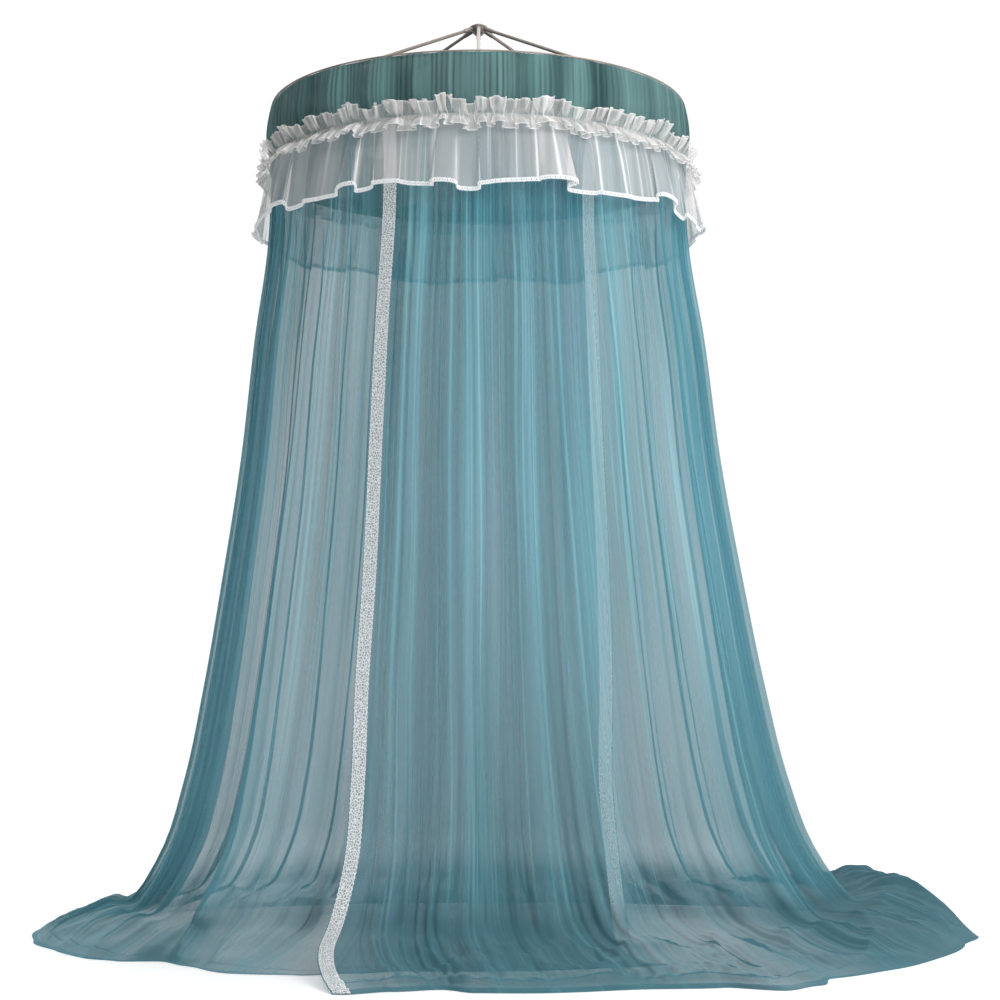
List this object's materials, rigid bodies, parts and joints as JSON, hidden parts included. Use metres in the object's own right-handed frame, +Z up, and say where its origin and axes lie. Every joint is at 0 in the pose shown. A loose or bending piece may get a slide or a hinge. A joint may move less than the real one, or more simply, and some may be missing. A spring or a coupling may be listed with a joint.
{
  "type": "mosquito net canopy with its hanging hoop frame",
  "caption": "Sheer net bed canopy hung from a ribbed round hoop frame, with gathered crown band, frilled valance and overlapping lace-edged panels that trail on the floor.",
  "frame": {"origin": "centre of the hub's flat top face, where the ceiling hook holds it, 2.67 m above the floor", "axes": "+Z up, -Y out of the front opening, +X to the right as seen from the front"},
  "size_m": [2.7128, 2.5776, 2.67],
  "materials": {
    "frame_metal": "satin taupe enamel",
    "teal_net": "sheer hexagonal net",
    "crown_net": "sheer net, gathered close",
    "white_organza": "sheer plain voile",
    "white_lace": "openwork lace and braid"
  },
  "bodies": {
    "root": {"hub": "frame_metal", "hoop": "frame_metal", "rib_1": "frame_metal", "rib_2": "frame_metal", "rib_3": "frame_metal", "rib_4": "frame_metal", "rib_5": "frame_metal", "rib_6": "frame_metal", "roof": "crown_net", "crown_band": "crown_net", "net_right": "teal_net", "net_left": "teal_net", "valance": "white_organza", "ruffle": "white_organza", "valance_braid": "white_lace", "lace_right": "white_lace", "lace_left": "white_lace"}
  },
  "joints": []
}
